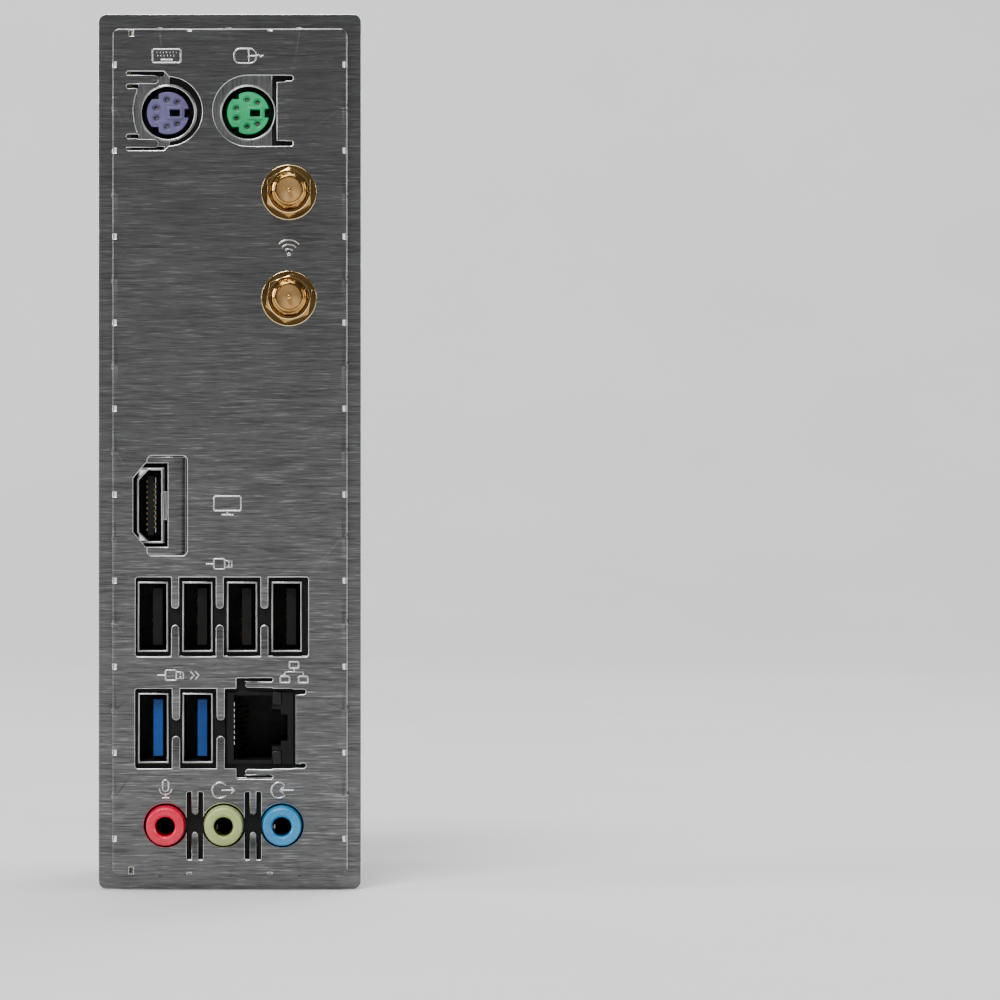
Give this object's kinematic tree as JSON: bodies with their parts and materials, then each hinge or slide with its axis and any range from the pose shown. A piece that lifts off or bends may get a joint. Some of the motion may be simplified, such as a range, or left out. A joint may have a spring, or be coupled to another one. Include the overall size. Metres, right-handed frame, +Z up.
{
  "type": "computer rear connector panel with wireless antenna jacks",
  "caption": "Steel rear connector panel of a computer board with its sockets, gold antenna jacks for the built-in wireless card, USB, video, network, keyboard, mouse and audio connectors.",
  "frame": {"origin": "centre of the chassis cut-out, on the plane where the lip meets the inside of the chassis wall", "axes": "+Z up along the panel, -Y out of the chassis towards the user, +X away from the board's component side"},
  "size_m": [0.0492, 0.0519, 0.1634],
  "materials": {
    "shield_steel": "brushed along X, dark",
    "connector_steel": "tin plated sheet",
    "black_plastic": "matte moulded",
    "board_green": "black solder mask over glass laminate",
    "card_board": "green solder mask over glass laminate",
    "can_metal": "tinned sheet",
    "gold_brass": "gold plated",
    "tinned_brass": "tin plated",
    "standoff_brass": "turned",
    "screw_steel": "nickel plated",
    "cream_dielectric": "smooth",
    "purple_plastic": "moulded",
    "green_plastic": "moulded",
    "blue_plastic": "moulded",
    "pink_plastic": "moulded",
    "lime_plastic": "moulded",
    "azure_plastic": "moulded",
    "lens_plastic": "smoked, translucent"
  },
  "bodies": {
    "panel": {"io_shield": "shield_steel", "io_board": "board_green", "ps2_shell": "connector_steel", "ps2_housing": "black_plastic", "ps2_keyboard_insert": "purple_plastic", "ps2_mouse_insert": "green_plastic", "ps2_contacts": "tinned_brass", "antenna_jack_upper": "gold_brass", "antenna_jack_lower": "gold_brass", "antenna_insulators": "cream_dielectric", "antenna_pins": "gold_brass", "wifi_bracket": "connector_steel", "wifi_card_board": "card_board", "wifi_card_can": "can_metal", "wifi_card_sockets": "gold_brass", "wifi_socket": "black_plastic", "wifi_socket_contacts": "tinned_brass", "wifi_card_screw": "screw_steel", "wifi_standoff": "standoff_brass", "video_port_shell": "connector_steel", "video_port_tongue": "black_plastic", "video_port_contacts": "gold_brass", "usb2_shell": "connector_steel", "usb2_housing": "black_plastic", "usb2_contact_tails": "gold_brass", "lan_usb_shell": "connector_steel", "usb3_housing": "black_plastic", "usb3_tongues": "blue_plastic", "usb3_contact_tails": "gold_brass", "lan_jack_housing": "black_plastic", "lan_led_lenses": "lens_plastic", "lan_contact_tails": "gold_brass", "lan_magnetics": "black_plastic", "audio_housing": "black_plastic", "audio_ring_mic": "pink_plastic", "audio_ring_line_out": "lime_plastic", "audio_ring_line_in": "azure_plastic", "audio_contact_tails": "tinned_brass"},
    "washer_upper": {"antenna_washer_upper": "gold_brass"},
    "nut_upper": {"antenna_nut_upper": "gold_brass"},
    "washer_lower": {"antenna_washer_lower": "gold_brass"},
    "nut_lower": {"antenna_nut_lower": "gold_brass"},
    "usb2_springs_1": {"usb2_contact_springs_1": "gold_brass"},
    "usb2_springs_2": {"usb2_contact_springs_2": "gold_brass"},
    "usb2_springs_3": {"usb2_contact_springs_3": "gold_brass"},
    "usb2_springs_4": {"usb2_contact_springs_4": "gold_brass"},
    "usb3_springs_1": {"usb3_contact_springs_1": "gold_brass"},
    "usb3_springs_2": {"usb3_contact_springs_2": "gold_brass"},
    "lan_springs": {"lan_contact_springs": "gold_brass"},
    "audio_spring_1": {"audio_contact_spring_1": "tinned_brass"},
    "audio_spring_2": {"audio_contact_spring_2": "tinned_brass"},
    "audio_spring_3": {"audio_contact_spring_3": "tinned_brass"}
  },
  "joints": [
    {"name": "washer_upper_slide", "type": "slide", "parent": "panel", "child": "washer_upper", "axis": [0, -1, 0], "range_m": [0, 0.006]},
    {"name": "nut_upper_turn", "type": "hinge", "parent": "washer_upper", "child": "nut_upper", "pos_m": [0.01104, -0.0042, 0.0482], "axis": [0, -1, 0], "range_deg": [0, 3060]},
    {"name": "washer_lower_slide", "type": "slide", "parent": "panel", "child": "washer_lower", "axis": [0, -1, 0], "range_m": [0, 0.006]},
    {"name": "nut_lower_turn", "type": "hinge", "parent": "washer_lower", "child": "nut_lower", "pos_m": [0.01104, -0.0042, 0.02846], "axis": [0, -1, 0], "range_deg": [0, 3060]},
    {"name": "usb2_springs_1_flex", "type": "hinge", "parent": "panel", "child": "usb2_springs_1", "pos_m": [-0.01396, 0.0044, -0.03074], "axis": [0, 0, 1], "range_deg": [0, 4], "stiffness_Nm_per_rad": 0.05},
    {"name": "usb2_springs_2_flex", "type": "hinge", "parent": "panel", "child": "usb2_springs_2", "pos_m": [-0.00566, 0.0044, -0.03074], "axis": [0, 0, 1], "range_deg": [0, 4], "stiffness_Nm_per_rad": 0.05},
    {"name": "usb2_springs_3_flex", "type": "hinge", "parent": "panel", "child": "usb2_springs_3", "pos_m": [0.00264, 0.0044, -0.03074], "axis": [0, 0, 1], "range_deg": [0, 4], "stiffness_Nm_per_rad": 0.05},
    {"name": "usb2_springs_4_flex", "type": "hinge", "parent": "panel", "child": "usb2_springs_4", "pos_m": [0.01094, 0.0044, -0.03074], "axis": [0, 0, 1], "range_deg": [0, 4], "stiffness_Nm_per_rad": 0.05},
    {"name": "usb3_springs_1_flex", "type": "hinge", "parent": "panel", "child": "usb3_springs_1", "pos_m": [-0.01388, 0.0044, -0.05145], "axis": [0, 0, 1], "range_deg": [0, 4], "stiffness_Nm_per_rad": 0.05},
    {"name": "usb3_springs_2_flex", "type": "hinge", "parent": "panel", "child": "usb3_springs_2", "pos_m": [-0.00564, 0.0044, -0.05145], "axis": [0, 0, 1], "range_deg": [0, 4], "stiffness_Nm_per_rad": 0.05},
    {"name": "lan_springs_flex", "type": "hinge", "parent": "panel", "child": "lan_springs", "pos_m": [0.00035, 0.0016, -0.05145], "axis": [0, 0, 1], "range_deg": [0, 12], "stiffness_Nm_per_rad": 0.03},
    {"name": "audio_spring_1_flex", "type": "hinge", "parent": "panel", "child": "audio_spring_1", "pos_m": [-0.00875, 0.0024, -0.0695], "axis": [0, 0, -1], "range_deg": [0, 4], "stiffness_Nm_per_rad": 0.05},
    {"name": "audio_spring_2_flex", "type": "hinge", "parent": "panel", "child": "audio_spring_2", "pos_m": [0.00205, 0.0024, -0.0695], "axis": [0, 0, -1], "range_deg": [0, 4], "stiffness_Nm_per_rad": 0.05},
    {"name": "audio_spring_3_flex", "type": "hinge", "parent": "panel", "child": "audio_spring_3", "pos_m": [0.01285, 0.0024, -0.0695], "axis": [0, 0, -1], "range_deg": [0, 4], "stiffness_Nm_per_rad": 0.05}
  ],
  "couplings": [
    {"joint": "nut_upper_turn", "follows": "washer_upper_slide", "rad_per_m": 8905.3},
    {"joint": "nut_lower_turn", "follows": "washer_lower_slide", "rad_per_m": 8905.3}
  ]
}
